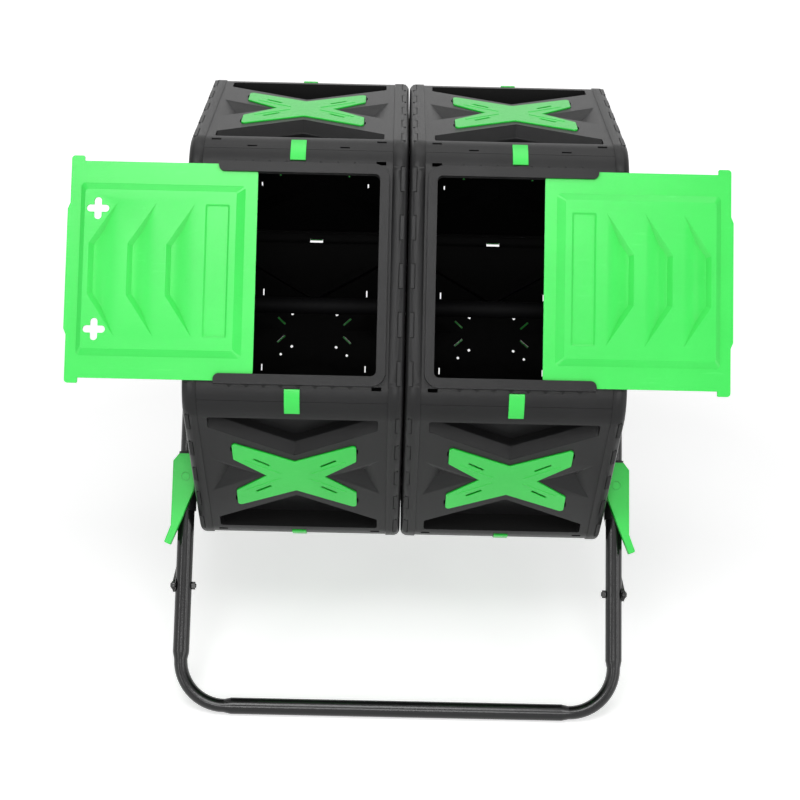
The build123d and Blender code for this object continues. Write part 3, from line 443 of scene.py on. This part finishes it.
# a low stiffening rib along each arm of the X plates
def plateRibs(bm, node):
    middleX = middleOf(node)[0]
    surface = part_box(node)[1][2] - axleHeight
    for turn in (0, 120, 180, 240, 300):
        face = panelFrame(middleX, math.radians(turn), surface)
        for sideX, sideU in ((1, 1), (1, -1), (-1, 1), (-1, -1)):
            lie = Matrix.Translation((sideX * ribLook["x"], sideU * ribLook["u"], ribLook["proud"] - ribLook["high"] / 2))
            spin = Matrix.Rotation(math.radians(sideX * sideU * ribLook["slope"]), 4, "Z")
            size = Matrix.Diagonal((ribLook["long"], ribLook["wide"], ribLook["high"], 1))
            made = bmesh.ops.create_cube(bm, size=1.0, matrix=face @ lie @ spin @ size)
            edges = list({edge for vert in made["verts"] for edge in vert.link_edges})
            bmesh.ops.bevel(bm, geom=edges, offset=0.0006, offset_type="OFFSET", segments=2, profile=0.5,
                            affect="EDGES", clamp_overlap=True, material=-1, loop_slide=True)


# each loose solid is drawn in about its own middle, so that a dark joint shows round it
def shrinkSolids(bm, by):
    left = set(bm.verts)
    while left:
        island, edgeOf = set(), [left.pop()]
        while edgeOf:
            vert = edgeOf.pop()
            island.add(vert)
            for edge in vert.link_edges:
                other = edge.other_vert(vert)
                if other in left:
                    left.remove(other)
                    edgeOf.append(other)
        low = Vector([min(vert.co[i] for vert in island) for i in range(3)])
        high = Vector([max(vert.co[i] for vert in island) for i in range(3)])
        middle = (low + high) / 2
        for vert in island:
            vert.co = middle + (vert.co - middle) * (1 - by)


# a moulded piece with its solid's shape and the small radius that every mould edge has
def softenedPiece(node, part, edge):
    name = camelName(node)
    bm = copiedSolid(node)
    if "shrink" in edge:
        shrinkSolids(bm, edge["shrink"])
    roundEdges(bm, edge)
    if part in ventPanels:
        troughRamps(bm, node)
    if part == "vent_plates":
        plateRibs(bm, node)
    obj = newPiece(node, name, bm)
    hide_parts(node)
    return obj


softEdges = {
    "door": {"radius": 0.0009, "steps": 2, "angle": 18},
    "lock_lever": {"radius": 0.0008, "steps": 2, "angle": 20},
    "vent_plates": {"radius": 0.0009, "steps": 2, "angle": 30, "shrink": 0.007},
    "panel_clips": {"radius": 0.0010, "steps": 2, "angle": 30},
    "door_rails": {"radius": 0.0008, "steps": 2, "angle": 25},
    "door_panel": {"radius": 0.0009, "steps": 2, "angle": 35},
    "top_panel": {"radius": 0.0010, "steps": 2, "angle": 35},
    "bottom_panel": {"radius": 0.0010, "steps": 2, "angle": 35},
    "lower_front_panel": {"radius": 0.0010, "steps": 2, "angle": 35},
    "lower_back_panel": {"radius": 0.0010, "steps": 2, "angle": 35},
    "upper_back_panel": {"radius": 0.0010, "steps": 2, "angle": 35},
}


for side in sides:
    for part, edge in softEdges.items():
        softenedPiece(side + "_" + part, part, edge)
    print(side, "side softened")


# ---- end caps, with the snap tongue that shows in each window of the rim ----

rimLook = {
    "proudBy": 0.0017, "proudFrom": 0.21, "proudDeep": 0.010,
    "count": 5, "pitch": 0.0655, "long": 0.0328, "inside": 0.0079, "toEdge": 0.0026, "sunk": 0.0002, "thick": 0.0014,
    "round": 0.0005,
}


def rimTongues(bm, endX, inward, top):
    for turn in range(6):
        around = Matrix.Translation((0, 0, axleHeight)) @ Matrix.Rotation(math.radians(60 * turn), 4, "X")
        for place in range(rimLook["count"]):
            y = (place - (rimLook["count"] - 1) / 2) * rimLook["pitch"]
            wide = rimLook["inside"] - rimLook["toEdge"]
            x = endX + inward * (rimLook["inside"] + rimLook["toEdge"]) / 2
            z = top - rimLook["sunk"] - rimLook["thick"] / 2
            size = Matrix.Diagonal((wide, rimLook["long"], rimLook["thick"], 1))
            made = bmesh.ops.create_cube(bm, size=1.0, matrix=around @ Matrix.Translation((x, y, z)) @ size)
            edges = list({edge for vert in made["verts"] for edge in vert.link_edges})
            bmesh.ops.bevel(bm, geom=edges, offset=rimLook["round"], offset_type="OFFSET", segments=2, profile=0.5,
                            affect="EDGES", clamp_overlap=True, material=-1, loop_slide=True)


for side in sides:
    for part in ("outer_end_cap", "inner_end_cap"):
        node = side + "_" + part
        low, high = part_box(node)
        faceLeft = (side == "left") == (part == "outer_end_cap")
        endX, inward = (low[0], 1) if faceLeft else (high[0], -1)
        bm = copiedSolid(node, plain=False)
        if part == "inner_end_cap":
            for vert in bm.verts:
                depth = abs(vert.co.x - endX)
                radius = math.hypot(vert.co.y, vert.co.z - axleHeight)
                if depth < rimLook["proudDeep"] and radius > rimLook["proudFrom"]:
                    vert.co.x -= inward * rimLook["proudBy"] * (1 - depth / rimLook["proudDeep"])
        rimTongues(bm, endX, inward, high[2] - axleHeight)
        cap = newPiece(node, camelName(node), bm)
        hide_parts(node)
    print(side, "end caps made")


# ---- stage, light and camera ----

# 1 where the eye, a reflection or a clear piece looks, 0 for the light that falls on the object
def seenRays(nodes, links):
    rays = nodes.new("ShaderNodeLightPath")
    direct = mathNode(nodes, links, "MAXIMUM", rays.outputs["Is Camera Ray"], rays.outputs["Is Glossy Ray"])
    return mathNode(nodes, links, "MAXIMUM", direct, rays.outputs["Is Transmission Ray"])


def makeFloor(look):
    bm = bmesh.new()
    bmesh.ops.create_grid(bm, x_segments=1, y_segments=1, size=look["size"] / 2)
    bmesh.ops.translate(bm, verts=bm.verts, vec=look["middle"])
    mesh = bpy.data.meshes.new("studioFloor")
    bm.to_mesh(mesh)
    bm.free()
    floor = bpy.data.objects.new("studioFloor", mesh)
    bpy.context.scene.collection.objects.link(floor)
    mat, nodes, links, shader = newTree("studioFloor")
    shader.inputs["Base Color"].default_value = (*look["tone"], 1)
    shader.inputs["Roughness"].default_value = 0.9
    shader.inputs["Emission Color"].default_value = (1, 1, 1, 1)
    place = nodes.new("ShaderNodeTexCoord").outputs["Object"]
    away = nodes.new("ShaderNodeVectorMath")
    away.operation = "LENGTH"
    links.new(place, away.inputs[0])
    near, far = look["clearFrom"]
    lift = scaled(nodes, links, rampNode(nodes, links, away.outputs["Value"], near, far), 1.0 - look["lift"], look["lift"])
    links.new(mathNode(nodes, links, "MULTIPLY", lift, seenRays(nodes, links)), shader.inputs["Emission Strength"])
    dress(floor, mat)


def makeWorld(level):
    world = bpy.data.worlds.new("studio")
    bpy.context.scene.world = world
    world.use_nodes = True
    nodes, links = world.node_tree.nodes, world.node_tree.links
    shader = nodes["Background"]
    shader.inputs["Color"].default_value = (1, 1, 1, 1)
    strength = scaled(nodes, links, seenRays(nodes, links), 1.0 - level, level)
    links.new(strength, shader.inputs["Strength"])


def addLamp(name, place, aim, size, power):
    data = bpy.data.lights.new(name, "AREA")
    data.shape = "RECTANGLE"
    data.size, data.size_y = size
    data.energy = power
    lamp = bpy.data.objects.new(name, data)
    lamp.location = place
    lamp.rotation_euler = (Vector(aim) - Vector(place)).to_track_quat("-Z", "Y").to_euler()
    bpy.context.scene.collection.objects.link(lamp)
    return lamp


studio = {
    "fill": 0.02,
    "floor": {"size": 14.0, "middle": (0, 3.0, -0.001), "tone": (0.80, 0.80, 0.80), "lift": 0.60,
              "clearFrom": (0.9, 2.4)},
    "lamps": {
        "keySoftbox": {"place": (-0.25, -1.8, 2.75), "aim": (0, 0, 0.5), "size": (1.6, 1.2), "power": 39},
        "topSoftbox": {"place": (0.1, 0.3, 3.0), "aim": (0, 0, 0.5), "size": (2.4, 1.6), "power": 20},
        "frontSoftbox": {"place": (-0.1, -3.2, 1.35), "aim": (0, 0, 0.5), "size": (1.6, 0.9), "power": 29},
        "rightSoftbox": {"place": (2.6, -1.2, 0.9), "aim": (0, 0, 0.5), "size": (0.8, 1.2), "power": 6},
        "leftStrip": {"place": (-2.2, -2.0, 1.1), "aim": (0, 0, 0.6), "size": (0.30, 2.4), "power": 13},
        "rightStrip": {"place": (2.2, -2.0, 1.1), "aim": (0, 0, 0.6), "size": (0.30, 2.4), "power": 12},
    },
}
makeFloor(studio["floor"])
makeWorld(studio["fill"])
for lampName, lamp in studio["lamps"].items():
    addLamp(lampName, lamp["place"], lamp["aim"], lamp["size"], lamp["power"])

view = {
    "axleHeight": 0.50925, "doorTilt": 30.0, "fromAxle": (-0.01804, -2.37343, 0.96142),
    "pitch": 4.828, "yaw": -0.317, "roll": -1.2275, "lens": 76.147,
}


def makeCamera():
    data = bpy.data.cameras.new("camera")
    data.sensor_width = 36.0
    data.lens = view["lens"]
    data.clip_start = 0.05
    data.clip_end = 100
    cam = bpy.data.objects.new("camera", data)
    turn = Matrix.Rotation(math.radians(-view["doorTilt"]), 4, "X")
    turn = turn @ Matrix.Rotation(math.radians(view["yaw"]), 4, "Z") @ Matrix.Rotation(math.radians(view["pitch"]), 4, "X")
    turn = turn @ Matrix.Rotation(math.radians(view["roll"]), 4, "Y") @ Matrix.Rotation(math.radians(90), 4, "X")
    spot = Vector(view["fromAxle"]) + Vector((0, 0, view["axleHeight"]))
    cam.matrix_world = Matrix.Translation(spot) @ turn
    bpy.context.scene.collection.objects.link(cam)
    bpy.context.scene.camera = cam


makeCamera()
bpy.context.scene.view_settings.view_transform = "Standard"
print("stage set")
